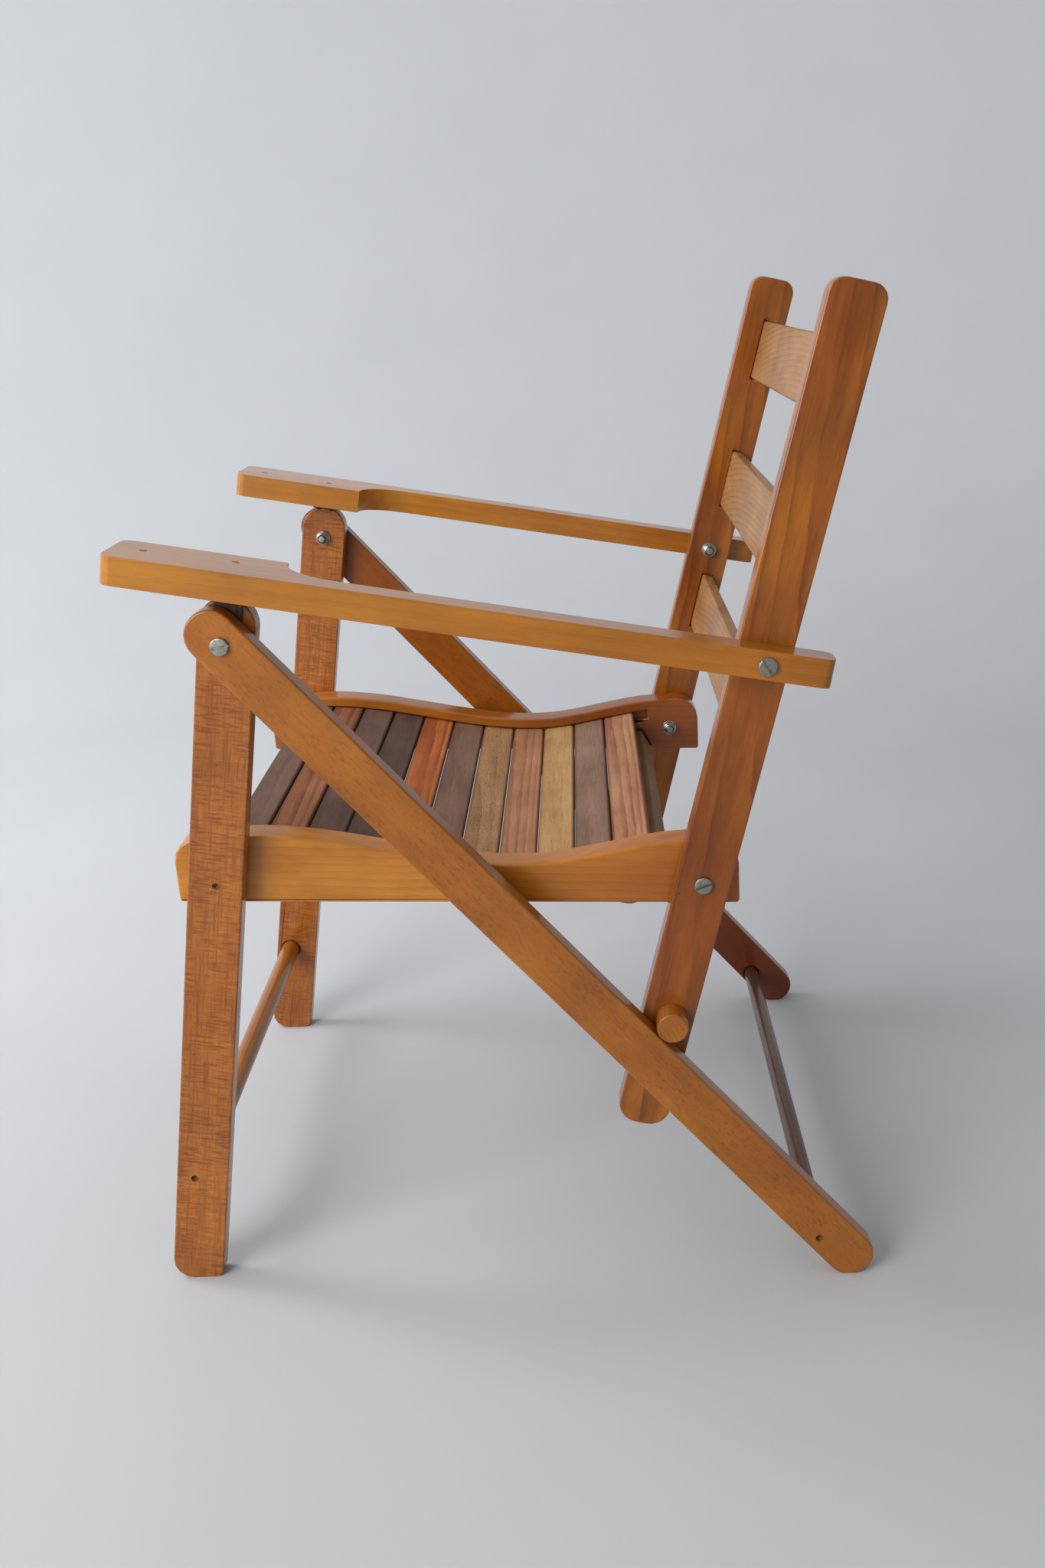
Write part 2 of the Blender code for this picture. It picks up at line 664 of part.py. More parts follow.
# ---------------------------------------------------------------- armrests and brackets
def arm_frame(side):
    """Frame at pivot A: +X out of the chair, +Y along the arm to the rear, +Z square to the arm."""
    return Matrix.Translation((0, *PIVOT_A)) @ Matrix.Rotation(-ARM_TILT, 4, "X") @ Matrix.Diagonal(
        (side, 1, 1, 1)
    )


def arm_outline():
    """The armrest seen from above, as (X, distance along the arm)."""
    paddle = PADDLE_INNER_X + PADDLE_STEP
    sweep = [
        (
            paddle + (ARM_INNER_X - paddle) * math.sin(math.pi / 2 * i / 6),
            PADDLE_END + PADDLE_SWEEP * (1 - math.cos(math.pi / 2 * i / 6)),
        )
        for i in range(7)
    ]
    corners = [
        (ARM_OUTER_X, ARM_FRONT), (ARM_OUTER_X, ARM_REAR), (ARM_INNER_X, ARM_REAR),
        (PADDLE_INNER_X, PADDLE_END), (PADDLE_INNER_X, ARM_FRONT),
    ]
    radii = [ARM_CORNER_RADIUS, ARM_CORNER_RADIUS * 0.8, ARM_CORNER_RADIUS * 0.8, 0, ARM_CORNER_RADIUS]
    rounded = fillet(corners, radii, 4)
    return rounded[:15] + sweep[::-1] + rounded[15:]


def make_arms(parts, cutters, finishes):
    wood, steel, zinc = finishes["arm_wood"], finishes["bracket"], finishes["zinc"]
    for side, tag in ((1, "left"), (-1, "right")):
        frame = arm_frame(side)
        lift = Matrix.Translation((0, 0, ARM_BOTTOM + ARM_THICK / 2))
        mesh = plate_mesh([arm_outline()], ARM_THICK, frame @ lift)
        if side < 0:
            mesh.flip_normals()
        arm = mesh_object(f"armrest_{tag}", mesh, (side * BRACKET_X, *PIVOT_A), parts, wood)
        soften(arm, 0.0048, 3, 60)
        cut(arm, rod_mesh(side * 0.250, side * 0.295, BOLT_R + CLEAR, PIVOT_B), cutters)
        for along in (-BRACKET_SCREW_SPREAD, BRACKET_SCREW_SPREAD):
            spot = frame @ Vector((BRACKET_SCREW_X, along, ARM_BOTTOM - 0.002))
            turn = Matrix.Rotation(-ARM_TILT, 4, "X")
            shape = bmesh.new()
            bmesh.ops.create_cone(
                shape, cap_ends=True, segments=12, radius1=SCREW_R + CLEAR, radius2=SCREW_R + CLEAR,
                depth=0.0360, matrix=Matrix.Translation(spot) @ turn,
            )
            pilot = bpy.data.meshes.new("pilot")
            shape.to_mesh(pilot)
            shape.free()
            cut(arm, pilot, cutters)
            number = 1 if along < 0 else 2
            under = ARM_BOTTOM - 2 * GAP - BRACKET_THICK
            place = frame @ Matrix.Translation((BRACKET_SCREW_X, along, under))
            profile = [
                (0, 0.0145), (SCREW_R, 0.0125), (SCREW_R, 0), (SCREW_HEAD_R, 0),
                (SCREW_HEAD_R * 0.8, -0.0018), (0, -0.0024),
            ]
            turned(f"bracket_screw_{number}_{tag}", profile, place, parts, zinc, 12)
        make_bracket(side, tag, frame, parts, cutters, steel)
        bolted_joint(
            f"arm_pivot_{tag}", side, ARM_OUTER_X, LAYER_2[0], PIVOT_B, SLOT_TURN_B, parts, zinc, cutters
        )


def make_bracket(side, tag, frame, parts, cutters, finish):
    """An angle of steel: the tab turns on pivot A and the ledge is screwed under the armrest."""
    half = BRACKET_WIDTH / 2
    top = ARM_BOTTOM - GAP
    tab = arc((0, 0), half, math.pi, 2 * math.pi, 8) + [(half, top), (-half, top)]
    upright = plate_mesh([tab], BRACKET_THICK, frame @ side_plane(BRACKET_X))
    reach = BRACKET_X + BRACKET_THICK / 2 - BRACKET_INNER_X
    middle = BRACKET_INNER_X + reach / 2
    ledge = box_mesh(
        (reach, BRACKET_WIDTH, BRACKET_THICK),
        frame @ Matrix.Translation((middle, 0, top - BRACKET_THICK / 2)),
    )
    if side < 0:
        upright.flip_normals()
        ledge.flip_normals()
    bracket = mesh_object(f"arm_bracket_{tag}", upright, (side * BRACKET_X, *PIVOT_A), parts, finish)
    helper = bpy.data.objects.new(f"arm_bracket_{tag}_ledge", ledge)
    helper.hide_render = True
    helper.display_type = "WIRE"
    cutters.objects.link(helper)
    join = bracket.modifiers.new("Join", "BOOLEAN")
    join.operation = "UNION"
    join.object = helper
    join.solver = "EXACT"
    cut(bracket, rod_mesh(side * 0.250, side * 0.270, BOLT_R + CLEAR, PIVOT_A), cutters)
    for along in (-BRACKET_SCREW_SPREAD, BRACKET_SCREW_SPREAD):
        spot = frame @ Vector((BRACKET_SCREW_X, along, ARM_BOTTOM))
        shape = bmesh.new()
        bmesh.ops.create_cone(
            shape, cap_ends=True, segments=12, radius1=SCREW_R + CLEAR, radius2=SCREW_R + CLEAR,
            depth=0.010, matrix=Matrix.Translation(spot) @ Matrix.Rotation(-ARM_TILT, 4, "X"),
        )
        hole = bpy.data.meshes.new("hole")
        shape.to_mesh(hole)
        shape.free()
        cut(bracket, hole, cutters)


def main():
    clear_scene()
    parts = new_collection("folding_chair")
    cutters = new_collection("cutters")
    finishes = {
        "front_wood": material("front_leg_wood", REDDISH),
        "rear_wood": material("rear_leg_wood", HONEY),
        "stile_wood": material("stile_wood", HONEY),
        "pale_wood": material("back_slat_wood", PALE_OAK, 0.55),
        "rail_wood": material("rail_wood", GOLDEN),
        "arm_wood": material("arm_wood", GOLDEN, 0.3),
        "dowel_wood": material("dowel_wood", HONEY),
        "dark_wood": material("dark_dowel_wood", DARK_DOWEL),
        "zinc": material("zinc", ZINC, 0.35, 1.0),
        "bracket": material("bracket_steel", (0.12, 0.11, 0.10, 1), 0.4, 1.0),
    }
    make_front_frame(parts, cutters, finishes)
    make_rear_frame(parts, cutters, finishes)
    make_back(parts, cutters, finishes)
    make_seat(parts, cutters, finishes)
    make_arms(parts, cutters, finishes)


main()
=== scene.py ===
import json
import math

import bmesh
import bpy
from mathutils import Matrix, Vector


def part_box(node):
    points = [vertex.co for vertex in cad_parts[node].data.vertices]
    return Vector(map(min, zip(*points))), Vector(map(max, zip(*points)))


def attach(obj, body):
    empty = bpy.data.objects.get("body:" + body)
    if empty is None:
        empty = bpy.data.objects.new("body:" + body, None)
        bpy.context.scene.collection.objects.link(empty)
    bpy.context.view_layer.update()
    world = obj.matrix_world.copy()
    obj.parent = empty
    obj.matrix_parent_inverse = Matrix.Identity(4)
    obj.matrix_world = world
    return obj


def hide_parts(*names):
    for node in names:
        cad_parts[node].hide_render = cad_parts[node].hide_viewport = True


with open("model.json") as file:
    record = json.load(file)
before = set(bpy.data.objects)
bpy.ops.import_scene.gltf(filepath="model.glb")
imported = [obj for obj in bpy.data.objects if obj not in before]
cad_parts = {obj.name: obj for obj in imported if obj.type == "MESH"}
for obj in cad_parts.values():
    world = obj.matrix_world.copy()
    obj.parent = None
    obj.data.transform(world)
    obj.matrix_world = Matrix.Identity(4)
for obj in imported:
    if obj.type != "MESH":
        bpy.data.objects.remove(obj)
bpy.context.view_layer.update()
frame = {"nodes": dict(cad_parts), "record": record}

# ---------------------------------------------------------------- what the boards and pivots are
SIDES = (("left", 1), ("right", -1))
BODY_OF = {n: body for body, nodes in frame["record"]["behaviour"]["bodies"].items() for n in nodes}

# How far each kind of side board leans back from upright, in degrees, which sets the way of its grain.
ARM_SLOPE = 11.4
LEAN = {
    "front_leg": 9.8, "rear_leg": -40.24, "back_stile": 14.78, "seat_rail": 92.7, "armrest": 90 + ARM_SLOPE,
}
ARM_TILT = math.radians(ARM_SLOPE)
ARM_UP = Vector((0, math.sin(ARM_TILT), math.cos(ARM_TILT)))
ARM_BACK = Vector((0, math.cos(ARM_TILT), -math.sin(ARM_TILT)))

# Fixings, in metres, and how far each kind of bolt's slot is turned, in radians.
BOLT_RADIUS = 0.0039
BOLT_HEAD_HEIGHT = 0.0036
BOLT_BORE = 0.0042
THREAD_LENGTH, THREAD_PITCH, THREADS = 0.0125, 0.00125, 9
SLOT_WIDTH, SLOT_DEPTH = 0.0024, 0.0024
SLOT_TURNS = {"leg_pivot": 0.12, "arm_pivot": -1.05, "seat_pivot": 0.35}
NUT_FLATS = 0.0130
SCREW_SHANK = 0.0021
RECESS_WIDTH, RECESS_DEPTH = 0.0008, 0.0011
HOLE_RIM, PEG_RIM = 0.0078, 0.0160
WELD = 0.000002


# ---------------------------------------------------------------- material graphs
class Graph:
    """A short way to write a material's nodes."""

    def __init__(self, name):
        self.material = bpy.data.materials.new(name)
        self.material.use_nodes = True
        self.tree = self.material.node_tree
        self.shader = self.tree.nodes["Principled BSDF"]

    def put(self, value, socket):
        if isinstance(value, bpy.types.NodeSocket):
            self.tree.links.new(value, socket)
        elif value is not None:
            socket.default_value = value

    def node(self, kind, inputs=(), **settings):
        made = self.tree.nodes.new(kind)
        for key, value in settings.items():
            setattr(made, key, value)
        for key, value in dict(inputs).items():
            self.put(value, made.inputs[key])
        return made

    def coords(self):
        return self.node("ShaderNodeTexCoord").outputs["Object"]

    def mapping(self, vector, location=(0, 0, 0), rotation=(0, 0, 0), scale=(1, 1, 1)):
        inputs = {"Vector": vector, "Location": location, "Rotation": rotation, "Scale": scale}
        return self.node("ShaderNodeMapping", inputs).outputs[0]

    def noise(self, vector, scale, detail=2.0, roughness=0.5, output="Fac"):
        inputs = {"Vector": vector, "Scale": scale, "Detail": detail, "Roughness": roughness}
        return self.node("ShaderNodeTexNoise", inputs).outputs[output]

    def ramp(self, fac, *stops):
        """Maps fac through (position, value) stops, in grey."""
        made = self.node("ShaderNodeValToRGB", {"Fac": fac})
        elements = made.color_ramp.elements
        while len(elements) < len(stops):
            elements.new(0.5)
        for element, (position, value) in zip(elements, stops):
            element.position = position
            element.color = (value, value, value, 1)
        return made.outputs["Color"]

    def math(self, operation, a, b=None):
        made = self.node("ShaderNodeMath", operation=operation)
        for value, socket in zip((a, b), made.inputs):
            self.put(value, socket)
        return made.outputs[0]

    def vector(self, operation, a, b):
        made = self.node("ShaderNodeVectorMath", operation=operation)
        self.put(a, made.inputs[0])
        self.put(b, made.inputs["Scale" if operation == "SCALE" else 1])
        return made.outputs[0]

    def axis(self, vector, name):
        return self.node("ShaderNodeSeparateXYZ", {"Vector": vector}).outputs[name]

    def between(self, value, start, end):
        """0 before start and 1 past end."""
        inputs = {"Value": value, "From Min": start, "From Max": end}
        return self.node("ShaderNodeMapRange", inputs).outputs[0]

    def mix(self, fac, a, b, blend="MIX"):
        made = self.node("ShaderNodeMix", data_type="RGBA", blend_type=blend)
        self.put(fac, made.inputs["Factor"])
        self.put(colour(a), made.inputs["A"])
        self.put(colour(b), made.inputs["B"])
        return made.outputs["Result"]

    def set(self, **values):
        """Fills the shader's own sockets, and gives the material back."""
        for key, value in values.items():
            self.put(value, self.shader.inputs[key.replace("_", " ")])
        return self.material

    def bump(self, height, strength, distance):
        inputs = {"Height": height, "Strength": strength, "Distance": distance}
        return self.node("ShaderNodeBump", inputs).outputs[0]


def colour(value):
    return (*value, 1) if isinstance(value, tuple) and len(value) == 3 else value


# What wood() takes when a look doesn't say: ring spacing, where the tree's middle lies (pith) and how it
# slopes, how strongly each mark shows, painted shade that darkens the tone along the grain as (start, end,
# tint), and painted shade at the long edges as edge (inner, outer), in metres.
WOOD = dict(
    ring=0.0075, pith=(0.045, 0.030), slope=(0.030, 0.022), wave=0.010, contrast=0.45, line=0.80,
    streak=0.30, fibre=0.14, pores=0.20, rays=0.0, flecks=0.0, fleck_size=430, blotch=0.25, rough=0.45,
    coat=0.85, bump=0.25, painted_falloff=None, edge=None,
)


def wood(name, turn, seed, light, mid, dark, **changes):
    """Wood whose grain runs along +Z once the object's own space is turned; sizes in metres."""
    use = {**WOOD, **changes}
    g = Graph(name)
    own = g.mapping(g.coords(), rotation=turn)
    # Each piece takes its own part of the noise, and its rings waver a little.
    place = g.mapping(own, location=(seed * 0.137, seed * 0.071, seed * 0.311))
    long_wave = g.noise(g.mapping(place, scale=(1, 1, 0.25)), 11, 2, output="Color")
    warp = g.vector("SCALE", g.vector("SUBTRACT", long_wave, (0.5, 0.5, 0.5)), use["wave"])
    bent = g.vector("ADD", own, warp)
    ring_place = g.mapping(bent, location=(*use["pith"], 0), rotation=(*use["slope"], 0))
    rings = g.node(
        "ShaderNodeTexWave",
        {"Vector": ring_place, "Scale": 0.314 / use["ring"], "Distortion": 0.9, "Detail": 3.0,
         "Detail Scale": 0.6, "Detail Roughness": 0.6},
        wave_type="RINGS", rings_direction="Z", wave_profile="SAW",
    ).outputs["Fac"]
    late = g.ramp(rings, (0.0, 0.0), (0.45, 0.10), (use["line"], 0.55), (0.95, 1.0), (1.0, 0.05))
    faint = g.noise(g.mapping(place, scale=(1, 1, 0.14)), 60, 2, 0.5)
    late = g.math("MULTIPLY", late, g.ramp(faint, (0.36, 0.35), (0.60, 1.0)))
    broad = g.noise(g.mapping(place, scale=(1, 1, 0.16)), 34, 3, 0.5)
    fibre = g.noise(g.mapping(place, scale=(1, 1, 0.045)), 520, 3, 0.7)
    fine = g.noise(g.mapping(place, scale=(1, 1, 0.06)), 1250, 2, 0.5)
    pore = g.ramp(fine, (0.60, 0.0), (0.69, 1.0))
    blot = g.noise(place, 15, 3, 0.55)
    tone = g.mix(g.ramp(broad, (0.5 - use["streak"] / 2, 0.0), (0.5 + use["streak"] / 2, 1.0)), light, mid)
    tone = g.mix(g.math("MULTIPLY", late, use["contrast"]), tone, dark)
    shade = g.ramp(fibre, (0.32, 1.0 - use["fibre"]), (0.68, 1.0))
    tone = g.mix(1.0, tone, shade, "MULTIPLY")
    deep = tuple(v * 0.55 for v in dark)
    tone = g.mix(g.math("MULTIPLY", pore, use["pores"]), tone, deep)
    if use["rays"]:
        tone = ray_marks(g, place, tone, dark, use["rays"])
    if use["flecks"]:
        marks = g.noise(g.mapping(place, scale=(1, 1, 0.45)), use["fleck_size"], 2, 0.5)
        patch = g.ramp(g.noise(place, 38, 2), (0.30, 0.35), (0.62, 1.0))
        mask = g.math("MULTIPLY", g.ramp(marks, (0.53, 0.0), (0.66, 1.0)), patch)
        tone = g.mix(g.math("MULTIPLY", mask, use["flecks"]), tone, deep)
    shade = g.ramp(blot, (0.30, 1.0 - use["blotch"]), (0.70, 1.0))
    tone = g.mix(1.0, tone, shade, "MULTIPLY")
    # Painted shade: the tone darkens by tint from start to end along the grain.
    if use["painted_falloff"]:
        start, end, tint = use["painted_falloff"]
        far = g.between(g.axis(bent, "Z"), start, end)
        tone = g.mix(far, tone, g.mix(1.0, tone, tint, "MULTIPLY"))
    # Painted shade in the gaps between slats: the tone darkens towards the long edges.
    if use["edge"]:
        painted_gap_shade = g.between(g.math("ABSOLUTE", g.axis(own, "X")), *use["edge"])
        tone = g.mix(g.math("MULTIPLY", painted_gap_shade, 0.85), tone, deep)
    rough = g.math("ADD", g.math("MULTIPLY", fibre, 0.20), use["rough"] - 0.10)
    height = g.math("SUBTRACT", g.math("MULTIPLY", fibre, 0.6), g.math("MULTIPLY", pore, 0.8))
    height = g.math("SUBTRACT", height, g.math("MULTIPLY", late, 0.35))
    return g.set(
        Base_Color=tone, Roughness=rough, Specular_IOR_Level=0.10, Coat_Weight=use["coat"],
        Coat_Roughness=0.19, Normal=g.bump(height, use["bump"], 0.0006),
    )


def ray_marks(g, place, tone, dark, strength):
    """Short dashes across the grain between fine dark threads along it, as on quarter-sawn mahogany."""
    rows = g.noise(g.mapping(place, scale=(0.11, 0.30, 1.0)), 520, 2, 0.55)
    patch = g.ramp(g.noise(g.mapping(place, scale=(1, 1, 0.5)), 34, 3, 0.6), (0.36, 0.25), (0.56, 1.0))
    dashes = g.math("MULTIPLY", g.ramp(rows, (0.47, 0.0), (0.60, 1.0)), patch)
    threads = g.noise(g.mapping(place, scale=(1, 1, 0.05)), 400, 2, 0.5)
    threads = g.ramp(threads, (0.52, 0.0), (0.66, 0.75))
    bars = g.noise(g.mapping(place, scale=(0.09, 0.3, 1.0), location=(3, 1, 2)), 300, 2)
    pale = g.ramp(bars, (0.55, 1.0), (0.70, 1.25))
    marks = g.math("MULTIPLY", g.math("MAXIMUM", dashes, threads), strength)
    return g.mix(marks, g.mix(1.0, tone, pale, "MULTIPLY"), dark)


def metal(name, seed, base, second_tone, rough, metallic=1.0, scratch=0.35):
    """Steel with cloudy patches of a second tone and fine scratches; unmetallic, it is glue, filler or the
    painted shade in a bolt's slot.
    """
    g = Graph(name)
    place = g.mapping(g.coords(), location=(seed * 0.05, seed * 0.03, seed * 0.07))
    cloud = g.noise(place, 420, 4, 0.6)
    marks = g.noise(g.mapping(place, rotation=(0.3, 0.5, 0.9), scale=(1, 0.06, 1)), 2600, 2)
    spots = g.ramp(cloud, (0.46, 0.0), (0.62, 1.0))
    tone = g.mix(spots, base, second_tone)
    roughness = g.math("ADD", g.math("MULTIPLY", spots, 0.18), rough)
    height = g.math("ADD", g.math("MULTIPLY", cloud, 0.5), g.math("MULTIPLY", marks, 0.5))
    return g.set(
        Base_Color=tone, Metallic=metallic, Roughness=roughness,
        Normal=g.bump(height, scratch, 0.0001),
    )


# ---------------------------------------------------------------- geometry
def object_from(name, mesh, finish, body, nodes, slot):
    """A piece whose mesh is given in world coordinates; its origin goes to the middle of its first node."""
    centre = middle(slot)
    mesh.transform(Matrix.Translation(-centre))
    mesh.materials.clear()
    for each in finish if isinstance(finish, tuple) else (finish,):
        mesh.materials.append(each)
    piece = bpy.data.objects.new(name, mesh)
    piece.location = centre
    bpy.context.scene.collection.objects.link(piece)
    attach(piece, body)
    if nodes:
        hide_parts(*nodes)
    return piece


def metal_piece(node, shape, finish, sharp=32, suffix="steel", stands=True):
    """A metal piece, which stands in for the CAD node unless stands is False."""
    mesh = finished_mesh(shape, node, sharp)
    return object_from(f"{node}_{suffix}", mesh, finish, BODY_OF[node], [node] if stands else [], node)


def wood_piece(node, shape, at, seed, look, sharp=38):
    """A wooden piece whose grain follows the frame at."""
    finish = wood(node, tuple(at.to_3x3().transposed().to_euler()), seed, **look)
    mesh = finished_mesh(shape, node, sharp)
    return object_from(f"{node}_wood", mesh, finish, BODY_OF[node], [node], node)


def grain_frame(centre, along, through):
    """A frame with +Z along the grain and +Y through the board's thickness."""
    z = Vector(along).normalized()
    y = Vector(through)
    y = (y - z * y.dot(z)).normalized()
    x = y.cross(z)
    matrix = Matrix((x, y, z)).transposed().to_4x4()
    return Matrix.Translation(centre) @ matrix


def middle(node):
    low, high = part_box(node)
    return (low + high) / 2


def side_frame(node):
    kind = next(k for k in LEAN if node.startswith(k))
    lean = math.radians(LEAN[kind])
    return grain_frame(middle(node), (0, math.sin(lean), math.cos(lean)), (1, 0, 0))


def cross_frame(node):
    """The frame of a slat along X, with +Y square to its widest face."""
    mesh = frame["nodes"][node].data
    widest = max(mesh.polygons, key=lambda face: face.area if abs(face.normal.x) < 0.5 else 0)
    normal = widest.normal.copy()
    if normal.z < 0:
        normal.negate()
    return grain_frame(middle(node), (1, 0, 0), normal)


def round_edges(shape, width, segments, lowest, highest, skip=()):
    """Rounds the edges whose faces meet between two angles, away from the points in skip, in world space."""

    def wanted(edge):
        if len(edge.link_faces) != 2 or not edge.is_convex:
            return False
        angle = math.degrees(edge.calc_face_angle(0))
        if not lowest < angle < highest:
            return False
        spot = (edge.verts[0].co + edge.verts[1].co) / 2
        return all((Vector(spot.yz) - Vector(at)).length > reach for at, reach in skip)

    edges = [edge for edge in shape.edges if wanted(edge)]
    bmesh.ops.bevel(
        shape, geom=edges, offset=width, offset_type="OFFSET", segments=segments, profile=0.5,
        affect="EDGES", clamp_overlap=False, miter_outer="SHARP", loop_slide=True,
    )


def clean_copy(node):
    """The CAD mesh with its flat faces merged, as a bmesh in world space."""
    shape = bmesh.new()
    shape.from_mesh(frame["nodes"][node].data)
    bmesh.ops.remove_doubles(shape, verts=shape.verts, dist=WELD)
    bmesh.ops.dissolve_limit(shape, angle_limit=math.radians(0.7), verts=shape.verts, edges=shape.edges)
    bmesh.ops.recalc_face_normals(shape, faces=shape.faces)
    return shape


def finished_mesh(shape, name, sharp=38):
    mesh = bpy.data.meshes.new(name)
    shape.to_mesh(mesh)
    shape.free()
    mesh.polygons.foreach_set("use_smooth", [True] * len(mesh.polygons))
    mesh.set_sharp_from_angle(angle=math.radians(sharp))
    return mesh


def weigh_normals(piece):
    """Keeps the shading of broad faces flat up to their rounded edges."""
    made = piece.modifiers.new("Normals", "WEIGHTED_NORMAL")
    made.keep_sharp = True
    made.weight = 60


def holes_near(node):
    """The pivots and screw holes through a side board, as ((Y, Z), reach), so that their rims stay as cut."""
    tag = node.rsplit("_", 1)[1]
    found = [(tuple(middle(f"stop_peg_{tag}").yz), PEG_RIM)]
    for other in frame["nodes"]:
        bolted = other.endswith("_bolt") and tag in other
        screwed = other.endswith(tag) and ("screw" in other or other.startswith("seat_pivot_pin"))
        if bolted or screwed:
            found.append((tuple(middle(other).yz), HOLE_RIM))
    return found


def board(node, seed, look, width=0.0):
    """A board's piece, with edges rounded by width unless the CAD's are round already."""
    shape = clean_copy(node)
    sided = node.endswith(("left", "right"))
    if width:
        round_edges(shape, width, 3, 50, 130, holes_near(node) if sided else ())
    at = side_frame(node) if sided else cross_frame(node)
    weigh_normals(wood_piece(node, shape, at, seed, look, 46))


def turned_mesh(profile, steps=48):
    """A surface of revolution about Z from (radius, height) points, top to bottom."""
    shape = bmesh.new()
    rings = []
    for radius, height in profile:
        if radius < 1e-9:
            rings.append([shape.verts.new((0, 0, height))])
            continue
        angles = [2 * math.pi * i / steps for i in range(steps)]
        rings.append([shape.verts.new((radius * math.cos(a), radius * math.sin(a), height)) for a in angles])
    for upper, lower in zip(rings, rings[1:]):
        for i in range(steps):
            j = (i + 1) % steps
            if len(upper) == 1:
                shape.faces.new((upper[0], lower[i], lower[j]))
            elif len(lower) == 1:
                shape.faces.new((upper[i], lower[0], upper[j]))
            else:
                shape.faces.new((upper[i], lower[i], lower[j], upper[j]))
    if len(rings[0]) > 1 and len(rings[-1]) > 1 and rings[0][0].co == rings[-1][0].co:
        bmesh.ops.remove_doubles(shape, verts=shape.verts, dist=1e-7)
    bmesh.ops.recalc_face_normals(shape, faces=shape.faces)
    return shape


def outward(side, x, at):
    """A frame at (x, at) whose +Z points out of the chair on this side."""
    return Matrix.Translation((x, *at)) @ Matrix.Rotation(side * math.pi / 2, 4, "Y")


def rounded_rod(length, radius, edge, steps=5):
    """Profile of a rod of this length about its middle, with rounded ends."""
    top = [
        (radius - edge + edge * math.sin(math.pi / 2 * i / steps),
         length / 2 - edge + edge * math.cos(math.pi / 2 * i / steps))
        for i in range(steps + 1)
    ]
    flat = [(0, length / 2), ((radius - edge) * 0.5, length / 2)]
    upper = flat + top
    return upper + [(r, -h) for r, h in reversed(upper)]


def rod(node, seed, look, edge, waviness=0.0):
    """A dowel along X with its ends rounded by edge, slightly uneven along its length if wavy."""
    low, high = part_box(node)
    radius = (high.z - low.z) / 2
    shape = turned_mesh(rounded_rod(high.x - low.x, radius, edge), 40)
    if waviness:
        for vert in shape.verts:
            vert.co.xy *= 1 - waviness * (1 + math.sin(vert.co.z * 71) * math.cos(vert.co.z * 29)) / 2
    shape.transform(outward(1, middle(node).x, middle(node).yz))
    at = grain_frame(middle(node), (1, 0, 0), (0, 0, 1))
    wood_piece(node, shape, at, seed, look, 50)


def combined(target, cutter, operation):
    """The Boolean of two bmeshes, as a new one."""
    operands = []
    for shape in (target, cutter):
        mesh = bpy.data.meshes.new("operand")
        shape.to_mesh(mesh)
        shape.free()
        operands.append(bpy.data.objects.new("operand", mesh))
        bpy.context.scene.collection.objects.link(operands[-1])
    made = operands[0].modifiers.new("Join", "BOOLEAN")
    made.operation = operation
    made.object = operands[1]
    made.solver = "EXACT"
    graph = bpy.context.evaluated_depsgraph_get()
    mesh = bpy.data.meshes.new_from_object(operands[0].evaluated_get(graph))
    for each in operands:
        bpy.data.objects.remove(each)
    shape = bmesh.new()
    shape.from_mesh(mesh)
    bmesh.ops.remove_doubles(shape, verts=shape.verts, dist=WELD)
    return shape


def cube(size, place):
    shape = bmesh.new()
    bmesh.ops.create_cube(shape, size=1, matrix=place @ Matrix.Diagonal((*size, 1)))
    return shape


def prism(radius, height, sides):
    shape = bmesh.new()
    bmesh.ops.create_cone(
        shape, cap_ends=True, segments=sides, radius1=radius, radius2=radius, depth=height,
    )
    return shape


def bolt(node, finish):
    """A cheese-head bolt with a slot, and a thread at its inner end."""
    low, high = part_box(node)
    side = 1 if middle(node).x > 0 else -1
    head, shank, height = (high.z - low.z) / 2, BOLT_RADIUS, BOLT_HEAD_HEIGHT
    outer = high.x if side > 0 else -low.x
    length = high.x - low.x - height
    rim, edge, thread = height * 0.93, 0.0009, -length + THREAD_LENGTH
    profile = [(0, height), (head * 0.45, height * 0.985), (head * 0.80, rim)]
    profile += [
        (head - edge + edge * math.sin(a), rim - edge + edge * math.cos(a)) for a in (0.35, 0.80, 1.20, 1.57)
    ]
    profile += [(head, 0.0004), (head - 0.0003, 0.0), (shank, 0.0), (shank, thread)]
    for i in range(THREADS):
        top = thread - THREAD_PITCH * i
        profile += [(shank, top - 0.0003), (shank - 0.0005, top - 0.00085)]
    profile += [(shank - 0.0006, -length + 0.0001), (shank - 0.0011, -length), (0, -length)]
    turn = Matrix.Rotation(SLOT_TURNS[node[: node.index("_pivot") + 6]], 4, "Z")
    slot = cube((SLOT_WIDTH, 0.0200, 2 * SLOT_DEPTH), turn @ Matrix.Translation((0, 0, height)))
    shape = combined(turned_mesh(profile), slot, "DIFFERENCE")
    # The faces inside the slot take the second finish, near black: painted shade in the slot.
    for face in shape.faces:
        spot = turn.inverted() @ face.calc_center_median()
        if abs(spot.x) < SLOT_WIDTH / 2 + 0.00005 and 0.001 < spot.z < height * 0.96:
            face.material_index = 1
    shape.transform(outward(side, side * (outer - height), middle(node).yz))
    metal_piece(node, shape, (finish, slot_shade_finish))


